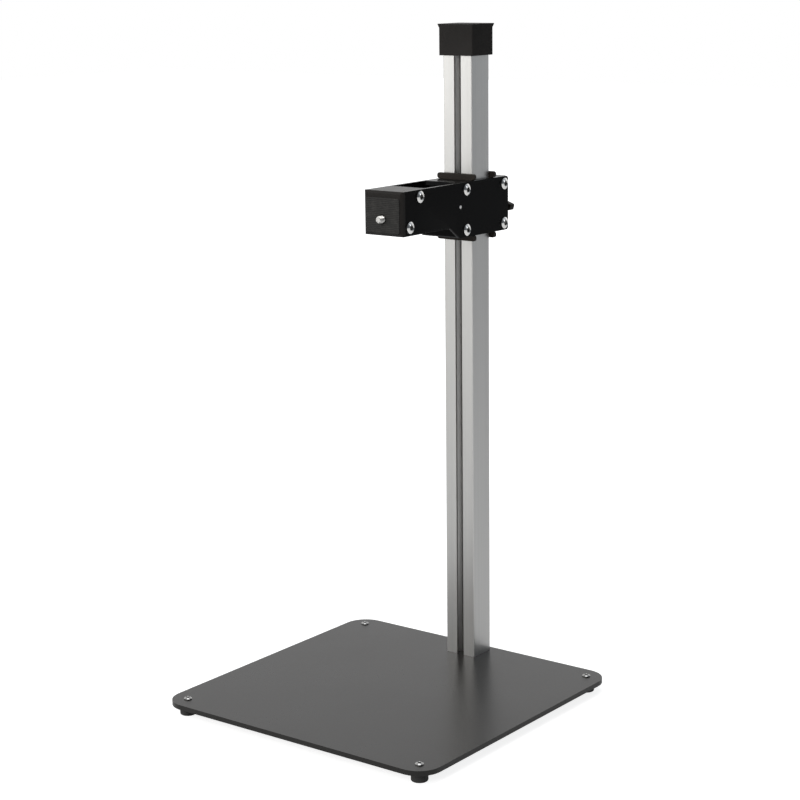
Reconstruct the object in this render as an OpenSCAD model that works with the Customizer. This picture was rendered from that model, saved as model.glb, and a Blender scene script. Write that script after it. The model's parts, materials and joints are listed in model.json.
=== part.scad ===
// Copy stand. A base plate on four rubber feet carries an upright slotted
// column. A carriage slides on the column, is held by a wing knob at the back,
// and reaches forward as an arm that ends in a camera block.

/* [Base] */
// Width of the base plate, left to right
base_w = 295.5; // [250:1:340]
// Depth of the base plate, front to back
base_d = 291; // [240:1:340]
// Thickness of the base plate
base_t = 4.5; // [3:0.5:6]
// Radius of the four corners seen from above
base_corner_r = 22; // [10:1:30]
// From the centre of the column to the back edge of the base plate
column_setback = 20.4; // [20:0.1:40]
// From a side edge of the base plate to the centre of a foot
foot_inset_x = 17.1; // [15:0.1:25]
// From the front or back edge of the base plate to the centre of a foot
foot_inset_y = 16; // [15:0.5:25]

/* [Feet] */
// Diameter of a rubber foot
foot_d = 15.5; // [14:0.5:18]
// Height of a rubber foot
foot_h = 9.5; // [9:0.5:14]
// Radius of the rounded lower edge of a foot
foot_edge_r = 1.4; // [0.5:0.1:2]
// Diameter of the screw that holds a foot
foot_screw_d = 4; // [3:0.5:4]
// Diameter of the head of a foot screw
foot_head_d = 7.4; // [6.5:0.1:9]
// Height of the head of a foot screw
foot_head_h = 2.2; // [1.8:0.1:3]
// Width across the flats of a foot nut
foot_nut_af = 7; // [6:0.1:7.2]
// Height of a foot nut
foot_nut_h = 3.2; // [2.4:0.1:3.2]

/* [Column] */
// Width of the column, left to right
column_w = 31.8; // [29:0.1:40]
// Depth of the column, front to back
column_d = 27; // [26:0.1:40]
// Length of the column
column_l = 590; // [500:1:800]
// Radius of the four corners of the column
column_corner_r = 1; // [0.5:0.1:1.5]
// Width of the mouth of a column slot
slot_w = 7.5; // [6:0.1:8]
// Thickness of the lips beside the mouth of a slot
slot_lip_t = 2; // [1.8:0.1:2.5]
// Width of the hollow behind the lips
slot_inner_w = 13; // [11:0.5:13]
// Depth of a slot from the face of the column
slot_depth = 8.5; // [6:0.1:9]
// Diameter of the bore along the middle of the column
core_bore_d = 6.8; // [5:0.1:7]
// Diameter of the screws that hold the column to the base plate
column_bolt_d = 6; // [5:0.5:6]
// Distance between the two column screws
column_bolt_pitch = 20; // [18:0.1:21]
// Length of a column screw below its head
column_bolt_l = 30; // [20:1:40]

/* [Column cap] */
// Thickness of the skirt of the cap
cap_wall = 2.5; // [1.2:0.1:3.5]
// Length of the skirt that covers the end of the column
cap_skirt_h = 23.4; // [15:0.1:35]
// Thickness of the top of the cap
cap_top_t = 4.7; // [4.5:0.1:8]
// How far the rim stands out from the skirt
cap_rim = 1; // [0.5:0.1:3]
// Height of the upright edge of the rim
cap_rim_h = 0.8; // [0.6:0.1:2]
// Height of the slanting underside of the rim
cap_rim_slope = 2.8; // [1:0.1:3.4]
// Radius of the upright corners of the cap
cap_corner_r = 1; // [0.5:0.1:2]
// Length of the plug in the middle bore of the column
cap_plug_l = 14; // [6:1:25]

/* [Carriage] */
// Height of the middle of the carriage above the base plate
carriage_height = 430.5; // [60:0.1:470]
// Thickness of a side plate
plate_t = 3; // [2:0.5:4]
// Space between the side of the column and a side plate
plate_gap = 2.1; // [1:0.1:3]
// Height of a side plate at the column
plate_h = 49.8; // [46:0.2:70]
// From the centre of the column to the back edge of a side plate
plate_back = 37; // [36:0.5:45]
// Radius of the back corners of a side plate
plate_corner_r = 3; // [1:0.5:6]
// From the centre of the column to the lower front corner of a side plate
plate_toe = 40; // [36:0.5:46]
// Depth of the slanting lower front corner
toe_slant = 14; // [8:0.5:20]
// Thickness of a slide pad
pad_t = 3.4; // [2.5:0.1:5]
// How far a slide pad reaches above and below the side plates
pad_ear_h = 5.6; // [3:0.1:8]
// Width of a slide pad above and below the side plates
pad_w = 42; // [41:0.1:46]
// Radius of the outer corners of a slide pad
pad_corner_r = 2.2; // [0.5:0.1:2.5]
// Height of the rib of a slide pad that runs in the slot
pad_rib_h = 1.5; // [1:0.1:1.7]
// Length of the front block, front to back
front_block_l = 24.5; // [22:0.5:34]
// Size of the bevel on the front block
front_block_bevel = 3.5; // [1:0.5:8]
// Distance between the upper and the lower block screws
block_screw_pitch = 36.4; // [32:0.2:38]
// From the centre of the column to the front and back block screws
block_screw_y = 29.8; // [28:0.1:30]
// Diameter of a locating dowel
dowel_d = 3; // [3:0.5:5]
// Depth to which a locating dowel enters the front block
dowel_grip = 9; // [6:0.5:12]
// Height of the locating dowels above the middle of the carriage
dowel_z = 3.3; // [-6:0.1:8]

/* [Arm] */
// From the centre of the column to the face that the camera rests on
arm_reach = 126; // [110:1:180]
// Height of the arm
arm_h = 39.3; // [36:0.1:45]
// Length of the camera block, front to back
camera_block_l = 37; // [32:0.5:45]
// Thickness of the flange in front of the side plates
flange_t = 5; // [4:0.5:8]
// Size of the bevel round the front of the flange
flange_bevel = 2; // [0.5:0.1:3]
// From the top of the arm down to its upper screws
arm_screw_drop = 6.4; // [5.5:0.1:8]
// From the bottom of the arm up to its lower screws
arm_screw_rise = 7.5; // [6.5:0.1:9]
// Diameter of the socket head screws of the carriage and the arm
screw_d = 6; // [5:0.5:6]
// Diameter of the heads of those screws
screw_head_d = 10.5; // [9.5:0.1:12]
// Height of the heads of those screws
screw_head_h = 3.2; // [2.8:0.1:4]
// Depth to which those screws enter a block
screw_grip = 12; // [8:0.5:12]
// From the back of the camera block to the upper arm screws
arm_screw_inset = 11; // [6:0.5:20]
// From the flange back to the lower arm screws
lower_arm_screw_inset = 6; // [5.5:0.1:8]

/* [Camera screw] */
// Diameter of the camera screw, a 1/4-20 tripod screw
camera_screw_d = 6.35; // [6.35:0.01:9.53]
// From the top of the arm down to the axis of the camera screw
camera_axis_drop = 24.6; // [22:0.1:25]
// Diameter of the plain shank of the camera screw
camera_shank_d = 5; // [4:0.1:5.5]
// Thickness of the camera block round the shank of the camera screw
camera_wall_l = 14; // [8:0.5:16]
// Length of the camera screw in front of the face pad
camera_screw_out = 5.5; // [4:0.1:7]
// Thickness of the face pad
face_pad_t = 1; // [0.5:0.1:2]
// Height of the face pad
face_pad_h = 31; // [24:0.5:31]
// Diameter of the camera knob
camera_knob_d = 27; // [24:0.5:29]
// Diameter of the neck of the camera knob
camera_neck_d = 16; // [12:0.5:18]
// Length of the gripped part of the camera knob
camera_knob_l = 12; // [8:0.5:20]
// Number of grooves round the camera knob
camera_knob_grooves = 18; // [12:1:24]

/* [Clamp] */
// Diameter of the clamp screw
clamp_screw_d = 6; // [6:0.5:8]
// Play between the released brake pad and the column
brake_gap = 0.8; // [0.6:0.1:1.5]
// Length of a wing from the axis of the clamp knob to its tip
wing_reach = 20; // [16:0.5:30]
// Thickness of a wing along the axis of the knob
wing_t = 7; // [5:0.5:9]
// Width of a wing at its tip
wing_tip_w = 6.2; // [5:0.1:10]
// Width of a wing at the hub
wing_root_w = 8; // [6:0.5:14]
// Diameter of the hub of the clamp knob
clamp_hub_d = 17; // [14:0.5:20]
// Length of the hub of the clamp knob
clamp_hub_l = 13; // [11:0.5:18]
// Space between the clamp knob and the rear block
clamp_stand_off = 2; // [1:0.1:4]
// Turn of the wings from level
clamp_turn = 17; // [0:1:45]

/* [Hidden] */
$fn = 96;

// Play left between a piece that slides and the piece beside it
slide_clear = 0.3;
// Play on the radius round a thread, a dowel or a turning shaft
thread_clear = 0.05;
// Play on the radius of a through hole
hole_clear = 0.3;
// Space that lets a knob turn beside a block
turn_clear = 2;
// Play on the radius round the neck of the camera knob
neck_clear = 0.8;
// Thickness of plastic left over the blind end of a screw in a knob
knob_cover = 2;
// Space between the face pad and the bevel of the flange
face_pad_margin = 0.5;
// Thickness of a slice that a hull joins to another
slice_t = 0.1;
// Extra length of a cutting tool
cut = 1;

// Width across the flats of the hexagon sockets
screw_socket_af = 4;
foot_socket_af = 2.5;
// Play on the radius round a foot nut
nut_clear = 0.5;
// Height of the end of a foot screw, and of its nut, above the floor
foot_screw_rise = 2;
// Space left before the blind end of a screw hole
screw_end_gap = 1;

// Heights
base_top = foot_h + base_t;
carriage_z = base_top + carriage_height;

// Column and slots
half_w = column_w / 2;
half_d = column_d / 2;
column_bolt_x = column_bolt_pitch / 2;
washer_d = column_bolt_d * 2;
washer_t = 1.6;
bolt_head_d = column_bolt_d * 1.75;
bolt_head_h = column_bolt_d * 0.55;
port_gap = 1.6;
port_w = 4;
port_x = (slot_inner_w / 2 + half_w) / 2;
column_wall = 1.6;

// Carriage, measured from the centre of the column
plate_in = half_w + plate_gap;
plate_out = plate_in + plate_t;
front_pad_y = half_d + slide_clear;
front_block_y = front_pad_y + pad_t;
brake_pad_y = half_d + brake_gap;
rear_block_y = brake_pad_y + pad_t + slide_clear;
rear_block_l = plate_back - rear_block_y;
screw_z = block_screw_pitch / 2;
front_block_front = front_block_y + front_block_l;
dowel_wall = 1.2;
dowel_end_gap = 0.5;
dowel_y = front_block_front - dowel_d / 2 - dowel_wall;
dowel_l = plate_t + dowel_grip;

// Arm, measured from the middle of the carriage
arm_top = plate_h / 2;
arm_bottom = arm_top - arm_h;
plate_front = arm_reach - flange_t;
block_back = arm_reach - camera_block_l;
arm_screw_y = block_back + arm_screw_inset;
arm_screw_z = arm_top - arm_screw_drop;
lower_arm_screw_y = plate_front - lower_arm_screw_inset;
lower_arm_screw_z = arm_bottom + arm_screw_rise;
face_pad_w = 2 * (plate_out - flange_bevel - face_pad_margin);
face_pad_bottom = arm_bottom + flange_bevel + face_pad_margin;

// Camera screw
camera_z = arm_top - camera_axis_drop;
camera_screw_r = camera_screw_d / 2;
shank_r = camera_shank_d / 2;
neck_r = camera_neck_d / 2;
neck_pocket_r = neck_r + neck_clear;
camera_washer_t = 1;
pocket_floor = arm_reach - camera_wall_l;
neck_front = pocket_floor - camera_washer_t - slide_clear;
grip_front = block_back - turn_clear;
grip_back = grip_front - camera_knob_l;
shaft_back = grip_back + knob_cover;
grub_r = 2;
grub_cover = 3;

// Clamp
clamp_screw_r = clamp_screw_d / 2;
tip_shoulder = 0.7;
tip_r = clamp_screw_r - tip_shoulder;
tip_depth = 1.6;
clamp_hub_y = plate_back + clamp_stand_off;
clamp_back = clamp_hub_y + clamp_hub_l;
wing_set_back = 0.8;
wing_y = clamp_hub_y + (clamp_hub_l - wing_t) / 2 + wing_set_back;
wing_tip_r = 1;

// The origin lies on the floor below the middle of the whole stand
front_reach = max(base_d - column_setback, arm_reach + face_pad_t + camera_screw_out);
back_reach = max(column_setback, clamp_back);
column_y = (front_reach - back_reach) / 2;

feet_x = base_w / 2 - foot_inset_x;
feet_front_y = -(base_d - column_setback) + foot_inset_y;
feet_back_y = column_setback - foot_inset_y;

base_black = [0.22, 0.22, 0.22];
arm_black = [0.07, 0.07, 0.07];
plastic_black = [0.1, 0.1, 0.1];
silver = [0.72, 0.72, 0.71];
steel = [0.62, 0.62, 0.62];
rubber_black = [0.05, 0.05, 0.05];
brass = [0.7, 0.58, 0.3];

// Moves what is drawn about the column centre line to its place on the stand.
module at_column(z = 0) {
  translate([0, column_y, z]) children();
}

// The same at the middle of the carriage.
module on_carriage() {
  at_column(carriage_z) children();
}

// The same at the axis of the camera screw.
module on_camera_axis() {
  at_column(carriage_z + camera_z) children();
}

module rounded_rect(w, d, r) {
  square([w - 2 * r, d], center = true);
  square([w, d - 2 * r], center = true);
  for (x = [-1, 1], y = [-1, 1])
    translate([x * (w / 2 - r), y * (d / 2 - r)]) circle(r);
}

// A rod along Y, from y0 back to y0 + l.
module rod_y(r, l, y0 = 0) {
  translate([0, y0, 0]) rotate([-90, 0, 0]) cylinder(r = r, h = l);
}

// A rod along X, from x0 to x0 + l.
module rod_x(r, l, x0 = 0) {
  translate([x0, 0, 0]) rotate([0, 90, 0]) cylinder(r = r, h = l);
}

// A profile drawn with Y to the right and Z up, extruded along X from x0.
module across(x0, l) {
  translate([x0, 0, 0]) rotate([90, 0, 90]) linear_extrude(l) children();
}

// A profile drawn with X to the right and Z up, extruded along Y from y0.
module along(y0, l) {
  translate([0, y0 + l, 0]) rotate([90, 0, 0]) linear_extrude(l) children();
}

// A round-headed screw with a hexagon socket. The head sits on Z = 0.
module button_screw(d, head_d, head_h, l, socket_af) {
  crown = head_h * 0.62;
  rim = head_h - crown;
  dome_r = (crown * crown + head_d * head_d / 4) / (2 * crown);
  difference() {
    union() {
      translate([0, 0, -l]) cylinder(d = d, h = l);
      cylinder(d = head_d, h = rim);
      intersection() {
        translate([0, 0, rim]) cylinder(d = head_d, h = crown);
        translate([0, 0, head_h - dome_r]) sphere(dome_r);
      }
    }
    translate([0, 0, head_h * 0.35])
      cylinder(d = socket_af / cos(30), h = head_h + cut, $fn = 6);
  }
}

module foot_places() {
  for (x = [-feet_x, feet_x], y = [feet_front_y, feet_back_y])
    translate([x, y, 0]) children();
}

module bolt_places() {
  for (x = [-column_bolt_x, column_bolt_x])
    translate([x, 0, 0]) children();
}

module base_plate() {
  color(base_black)
    at_column(foot_h)
      difference() {
        translate([0, column_setback - base_d / 2, 0])
          linear_extrude(base_t) rounded_rect(base_w, base_d, base_corner_r);
        foot_places()
          translate([0, 0, -cut])
            cylinder(d = foot_screw_d + 2 * hole_clear, h = base_t + 2 * cut);
        bolt_places()
          translate([0, 0, -cut])
            cylinder(d = column_bolt_d + 2 * hole_clear, h = base_t + 2 * cut);
      }
}

// A bumper with a pocket below for the nut.
module foot(x, y) {
  r = foot_d / 2;
  pocket_h = foot_nut_h + foot_screw_rise;
  color(rubber_black)
    at_column()
      translate([x, y, 0])
        difference() {
          rotate_extrude() {
            translate([0, foot_edge_r]) square([r, foot_h - foot_edge_r]);
            square([r - foot_edge_r, foot_h]);
            translate([r - foot_edge_r, foot_edge_r]) circle(foot_edge_r);
          }
          translate([0, 0, -cut])
            cylinder(d = foot_screw_d + 2 * thread_clear, h = foot_h + 2 * cut);
          translate([0, 0, -cut])
            cylinder(d = foot_nut_af / cos(30) + 2 * nut_clear, h = pocket_h + cut);
        }
}

module foot_front_left() foot(-feet_x, feet_front_y);
module foot_front_right() foot(feet_x, feet_front_y);
module foot_back_left() foot(-feet_x, feet_back_y);
module foot_back_right() foot(feet_x, feet_back_y);

module foot_screws() {
  color(steel)
    at_column(base_top)
      foot_places()
        button_screw(foot_screw_d, foot_head_d, foot_head_h, base_top - foot_screw_rise, foot_socket_af);
}

module foot_nuts() {
  color(steel)
    at_column(foot_screw_rise)
      foot_places()
        difference() {
          cylinder(d = foot_nut_af / cos(30), h = foot_nut_h, $fn = 6);
          translate([0, 0, -cut])
            cylinder(d = foot_screw_d + 2 * thread_clear, h = foot_nut_h + 2 * cut);
        }
}

// One slot, drawn for the face at +Y: a narrow mouth and a wider hollow whose
// inner corners are cut at 45 degrees.
module slot_profile() {
  slope = (slot_inner_w - slot_w) / 2;
  mouth = half_d - slot_lip_t;
  floor_y = half_d - slot_depth;
  translate([-slot_w / 2, mouth - cut]) square([slot_w, slot_lip_t + 2 * cut]);
  polygon([
    [-slot_inner_w / 2, mouth],
    [slot_inner_w / 2, mouth],
    [slot_inner_w / 2, floor_y + slope],
    [slot_w / 2, floor_y],
    [-slot_w / 2, floor_y],
    [-slot_inner_w / 2, floor_y + slope]
  ]);
}

module column_profile() {
  port_start = column_bolt_d / 2 + port_gap;
  port_d = half_d - column_wall - port_start;
  difference() {
    rounded_rect(column_w, column_d, column_corner_r);
    slot_profile();
    mirror([0, 1]) slot_profile();
    circle(d = core_bore_d);
    bolt_places() circle(d = column_bolt_d + 2 * thread_clear);
    for (x = [-1, 1], y = [-1, 1])
      translate([x * port_x, y * (port_start + port_d / 2)])
        square([port_w, port_d], center = true);
  }
}

module column() {
  color(silver)
    at_column(base_top)
      linear_extrude(column_l) column_profile();
}

module column_washers() {
  color(steel)
    at_column(foot_h - washer_t)
      bolt_places()
        difference() {
          cylinder(d = washer_d, h = washer_t);
          translate([0, 0, -cut])
            cylinder(d = column_bolt_d + 2 * hole_clear, h = washer_t + 2 * cut);
        }
}

module column_bolts() {
  color(steel)
    at_column(foot_h - washer_t)
      bolt_places()
        mirror([0, 0, 1])
          button_screw(column_bolt_d, bolt_head_d, bolt_head_h, column_bolt_l, screw_socket_af);
}

// The skirt slips over the column, the plug enters its middle bore, and the
// rim at the top stands out with a slanting underside.
module column_cap() {
  fit = slide_clear / 2;
  skirt_w = column_w + 2 * fit + 2 * cap_wall;
  skirt_d = column_d + 2 * fit + 2 * cap_wall;
  top_z = column_l + cap_top_t;
  color(plastic_black)
    at_column(base_top)
      difference() {
        union() {
          translate([0, 0, column_l - cap_skirt_h])
            linear_extrude(cap_skirt_h + cap_top_t)
              rounded_rect(skirt_w, skirt_d, cap_corner_r);
          hull() {
            translate([0, 0, top_z - cap_rim_h])
              linear_extrude(cap_rim_h)
                rounded_rect(skirt_w + 2 * cap_rim, skirt_d + 2 * cap_rim, cap_corner_r, $fn = 32);
            translate([0, 0, top_z - cap_rim_h - cap_rim_slope])
              linear_extrude(slice_t)
                rounded_rect(skirt_w, skirt_d, cap_corner_r, $fn = 32);
          }
        }
        translate([0, 0, column_l - cap_skirt_h - cut])
          linear_extrude(cap_skirt_h + cut)
            rounded_rect(column_w + 2 * fit, column_d + 2 * fit, column_corner_r);
      }
  color(plastic_black)
    at_column(base_top + column_l - cap_plug_l)
      cylinder(d = core_bore_d - 2 * thread_clear, h = cap_plug_l + cut);
}

// The outline of a side plate with Y forward of the column negative.
module side_plate_profile() {
  h = plate_h / 2;
  difference() {
    union() {
      translate([(plate_back - plate_toe) / 2, 0])
        rounded_rect(plate_back + plate_toe, plate_h, plate_corner_r);
      polygon([
        [0, h],
        [-plate_front, h],
        [-plate_front, arm_bottom],
        [-plate_toe - toe_slant, arm_bottom],
        [-plate_toe, -h],
        [0, -h]
      ]);
    }
    for (y = [-block_screw_y, block_screw_y], z = [-screw_z, screw_z])
      translate([y, z]) circle(d = screw_d + 2 * hole_clear);
    translate([-dowel_y, dowel_z]) circle(d = dowel_d + 2 * thread_clear);
    arm_screw_places() circle(d = screw_d + 2 * hole_clear);
  }
}

module arm_screw_places() {
  translate([-arm_screw_y, arm_screw_z]) children();
  translate([-lower_arm_screw_y, lower_arm_screw_z]) children();
}

module side_plate_left() {
  color(arm_black) on_carriage() across(-plate_out, plate_t) side_plate_profile();
}

module side_plate_right() {
  color(arm_black) on_carriage() across(plate_in, plate_t) side_plate_profile();
}

// Threaded holes for the screws of both side plates, at y from the column.
module side_bores(y, z) {
  for (s = [-1, 1])
    translate([0, y, z])
      rotate([0, s * 90, 0])
        translate([0, 0, plate_in - screw_grip - cut])
          cylinder(d = screw_d + 2 * thread_clear, h = screw_grip + 2 * cut);
}

// Its lower front follows the slant of the side plates.
module front_block() {
  h = plate_h / 2;
  front = front_block_front;
  toe = min(plate_toe, front);
  slant_z = -h + (front - toe) * (arm_bottom + h) / toe_slant;
  color(arm_black)
    on_carriage()
      difference() {
        across(-plate_in, 2 * plate_in)
          polygon([
            [-front_block_y, -h],
            [-front_block_y, h],
            [-front + front_block_bevel, h],
            [-front, h - front_block_bevel],
            [-front, slant_z],
            [-toe, -h]
          ]);
        for (z = [-screw_z, screw_z]) side_bores(-block_screw_y, z);
        for (s = [-1, 1])
          translate([0, -dowel_y, dowel_z])
            rotate([0, s * 90, 0])
              translate([0, 0, plate_out - dowel_l - dowel_end_gap])
                cylinder(d = dowel_d + 2 * thread_clear, h = dowel_l);
      }
}

module rear_block() {
  color(arm_black)
    on_carriage()
      difference() {
        translate([-plate_in, rear_block_y, -plate_h / 2])
          cube([2 * plate_in, rear_block_l, plate_h]);
        for (z = [-screw_z, screw_z]) side_bores(block_screw_y, z);
        rod_y(clamp_screw_r + thread_clear, rear_block_l + 2 * cut, rear_block_y - cut);
      }
}

// The outline of a slide pad: a waist between the side plates and two wide
// ends that hook over their edges.
module pad_profile() {
  shoulder = plate_h / 2 + slide_clear / 2;
  ear = pad_ear_h - slide_clear / 2;
  square([2 * (plate_in - slide_clear / 2), 2 * shoulder + 0.2], center = true);
  for (s = [-1, 1])
    translate([0, s * (shoulder + ear / 2)])
      rounded_rect(pad_w, ear, min(pad_corner_r, ear / 2 - 0.2));
}

module pad_rib() {
  translate([-(slot_w / 2 - slide_clear), -plate_h / 2 - pad_ear_h + 1])
    square([slot_w - 2 * slide_clear, plate_h + 2 * pad_ear_h - 2]);
}

module front_pad() {
  color(plastic_black)
    on_carriage() {
      along(-front_block_y, pad_t) pad_profile();
      along(-front_pad_y - cut, pad_rib_h + cut + slide_clear) pad_rib();
    }
}

module brake_pad() {
  color(plastic_black)
    on_carriage()
      difference() {
        union() {
          along(brake_pad_y, pad_t) pad_profile();
          along(half_d - pad_rib_h + brake_gap, pad_rib_h + cut) pad_rib();
        }
        rod_y(tip_r + thread_clear, tip_depth + cut, brake_pad_y + pad_t - tip_depth);
      }
}

module plate_screw(side, y, z) {
  translate([side * plate_out, y, z])
    rotate([0, side * 90, 0])
      button_screw(screw_d, screw_head_d, screw_head_h, plate_t + screw_grip - screw_end_gap, screw_socket_af);
}

module carriage_screws(side) {
  color(steel)
    on_carriage()
      for (y = [-block_screw_y, block_screw_y], z = [-screw_z, screw_z])
        plate_screw(side, y, z);
}

module carriage_screws_left() carriage_screws(-1);
module carriage_screws_right() carriage_screws(1);

module block_dowels() {
  color(steel)
    on_carriage()
      for (s = [-1, 1])
        translate([0, -dowel_y, dowel_z])
          rotate([0, s * 90, 0])
            translate([0, 0, plate_out - dowel_l])
              cylinder(d = dowel_d, h = dowel_l + 0.3);
}

// The front of the arm. All its front edges are bevelled.
module flange() {
  bevel_y = -arm_reach + flange_bevel;
  intersection() {
    across(-plate_out, 2 * plate_out)
      polygon([
        [-plate_front, arm_bottom],
        [-plate_front, arm_top],
        [bevel_y, arm_top],
        [-arm_reach, arm_top - flange_bevel],
        [-arm_reach, arm_bottom + flange_bevel],
        [bevel_y, arm_bottom]
      ]);
    translate([0, 0, arm_bottom])
      linear_extrude(arm_h)
        polygon([
          [-plate_out, -plate_front],
          [plate_out, -plate_front],
          [plate_out, bevel_y],
          [plate_out - flange_bevel, -arm_reach],
          [flange_bevel - plate_out, -arm_reach],
          [-plate_out, bevel_y]
        ]);
  }
}

module camera_block() {
  color(arm_black)
    on_carriage()
      difference() {
        union() {
          translate([-plate_in, -plate_front, arm_bottom])
            cube([2 * plate_in, camera_block_l - flange_t, arm_h]);
          flange();
        }
        side_bores(-arm_screw_y, arm_screw_z);
        side_bores(-lower_arm_screw_y, lower_arm_screw_z);
        translate([0, 0, camera_z]) {
          rod_y(shank_r + thread_clear, camera_block_l + 2 * cut, -arm_reach - cut);
          rod_y(neck_pocket_r, camera_block_l, -pocket_floor);
        }
      }
}

module arm_screws(side) {
  color(steel)
    on_carriage() {
      plate_screw(side, -arm_screw_y, arm_screw_z);
      plate_screw(side, -lower_arm_screw_y, lower_arm_screw_z);
    }
}

module arm_screws_left() arm_screws(-1);
module arm_screws_right() arm_screws(1);

module camera_face_pad() {
  color(rubber_black)
    on_carriage()
      difference() {
        translate([0, 0, face_pad_bottom + face_pad_h / 2])
          along(-arm_reach - face_pad_t, face_pad_t)
            rounded_rect(face_pad_w, face_pad_h, 2);
        translate([0, 0, camera_z])
          rod_y(camera_screw_r + 1, face_pad_t + 2 * cut, -arm_reach - face_pad_t - cut);
      }
}

// The tripod screw: its thread starts at the face of the pad, and a thinner
// plain shank behind it turns in the camera block and ends in the knob.
module camera_screw() {
  shoulder = arm_reach + face_pad_t;
  color(steel)
    on_camera_axis() {
      rod_y(camera_screw_r, camera_screw_out, -shoulder - camera_screw_out);
      rod_y(shank_r, shoulder - shaft_back + cut, -shoulder - cut);
    }
}

module camera_washer() {
  color(brass)
    on_camera_axis()
      difference() {
        rod_y(neck_r, camera_washer_t, -pocket_floor);
        rod_y(shank_r + hole_clear, camera_washer_t + 2 * cut, -pocket_floor - cut);
      }
}

module camera_knob() {
  grip_r = camera_knob_d / 2;
  groove_r = 1.3;
  color(plastic_black)
    on_camera_axis()
      difference() {
        union() {
          rod_y(neck_r, neck_front - grip_front + cut, -neck_front);
          rod_y(grip_r, camera_knob_l, -grip_front);
        }
        rod_y(shank_r + thread_clear, neck_front - shaft_back + cut, -neck_front - cut);
        for (i = [0 : camera_knob_grooves - 1])
          rotate([0, (i + 0.5) * 360 / camera_knob_grooves, 0])
            translate([grip_r + groove_r * 0.4, 0, 0])
              rod_y(groove_r, camera_knob_l + 2 * cut, -grip_front - cut);
        translate([0, -(grip_front + grip_back) / 2, 0])
          cylinder(r = grub_r + thread_clear, h = grip_r + cut);
      }
}

module camera_knob_grub() {
  grub_l = camera_knob_d / 2 - shank_r - grub_cover;
  color(steel)
    on_camera_axis()
      translate([0, -(grip_front + grip_back) / 2, shank_r + thread_clear])
        difference() {
          cylinder(r = grub_r, h = grub_l);
          translate([0, 0, grub_l - 2.5]) cylinder(d = 2 / cos(30), h = 2.5 + cut, $fn = 6);
        }
}

// The clamp screw has a turned-down tip that sits in the brake pad.
module clamp_screw() {
  seat = brake_pad_y + pad_t;
  tip_start = seat - tip_depth + thread_clear;
  color(steel)
    on_carriage() {
      rod_y(tip_r, tip_depth + 1, tip_start);
      rod_y(clamp_screw_r, clamp_back - knob_cover - seat - thread_clear, seat + thread_clear);
    }
}

module clamp_knob() {
  hub_r = clamp_hub_d / 2;
  color(plastic_black)
    on_carriage()
      rotate([0, clamp_turn, 0])
        difference() {
          union() {
            rod_y(hub_r, clamp_hub_l, clamp_hub_y);
            along(wing_y, wing_t)
              hull() {
                square([clamp_hub_d * 0.8, wing_root_w], center = true);
                for (s = [-1, 1], e = [-1, 1])
                  translate([s * (wing_reach - wing_tip_r), e * (wing_tip_w / 2 - wing_tip_r)])
                    circle(wing_tip_r, $fn = 32);
              }
          }
          rod_y(clamp_screw_r + thread_clear, clamp_hub_l - knob_cover + cut, clamp_hub_y - cut);
        }
}

base_plate();
foot_front_left();
foot_front_right();
foot_back_left();
foot_back_right();
foot_screws();
foot_nuts();
column();
column_bolts();
column_washers();
column_cap();
side_plate_left();
side_plate_right();
front_block();
rear_block();
front_pad();
brake_pad();
carriage_screws_left();
carriage_screws_right();
block_dowels();
camera_block();
arm_screws_left();
arm_screws_right();
camera_face_pad();
camera_screw();
camera_knob();
camera_knob_grub();
camera_washer();
clamp_screw();
clamp_knob();
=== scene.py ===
import json
import math

import bmesh
import bpy
from mathutils import Matrix, Vector


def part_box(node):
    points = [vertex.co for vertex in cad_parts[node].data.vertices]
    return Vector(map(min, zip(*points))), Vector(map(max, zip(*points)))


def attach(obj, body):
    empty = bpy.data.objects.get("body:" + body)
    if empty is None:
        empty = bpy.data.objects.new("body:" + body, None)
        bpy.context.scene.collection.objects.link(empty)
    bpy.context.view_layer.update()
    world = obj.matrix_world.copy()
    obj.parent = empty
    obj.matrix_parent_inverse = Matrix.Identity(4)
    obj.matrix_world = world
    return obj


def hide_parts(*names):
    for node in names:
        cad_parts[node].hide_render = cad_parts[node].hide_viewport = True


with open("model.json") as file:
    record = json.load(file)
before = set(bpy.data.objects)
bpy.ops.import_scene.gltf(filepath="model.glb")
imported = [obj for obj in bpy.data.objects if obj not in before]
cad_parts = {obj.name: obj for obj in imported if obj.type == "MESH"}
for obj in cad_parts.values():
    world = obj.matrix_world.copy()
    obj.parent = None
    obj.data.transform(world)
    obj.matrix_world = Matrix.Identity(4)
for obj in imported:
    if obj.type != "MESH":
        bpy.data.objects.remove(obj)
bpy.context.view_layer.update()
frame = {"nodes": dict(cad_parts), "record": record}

# Lengths below are in millimetres where no other unit is named. MM turns them into metres.
MM = 0.001

# Socket head screws of the carriage and the arm, of the feet, and of the column
SCREW = {"shank_d": 6, "head_d": 10.5, "head_h": 3.2, "socket_af": 4, "shank_l": 14}
FOOT_SCREW = {"shank_d": 4, "head_d": 7.4, "head_h": 2.2, "socket_af": 2.5, "shank_l": 12}
COLUMN_BOLT = {"shank_d": 6, "head_d": 10.5, "head_h": 3.3, "socket_af": 4, "shank_l": 30}

# Rubber feet
FOOT_EDGE_R = 1.4
FOOT_BORE_D = 4.1
FOOT_POCKET_D = 9.08
FOOT_POCKET_H = 5.2

# Camera screw, a 1/4-20 thread on a thinner shank, and its knob
CAMERA_SCREW_D = 6.35
CAMERA_PITCH = 1.27
CAMERA_SCREW_OUT = 5.5
CAMERA_SHANK_D = 5
KNOB_NECK_D = 16
KNOB_GRIP_L = 12
KNOB_GROOVES = 18
KNOB_GROOVE_DEPTH = 0.78

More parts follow.
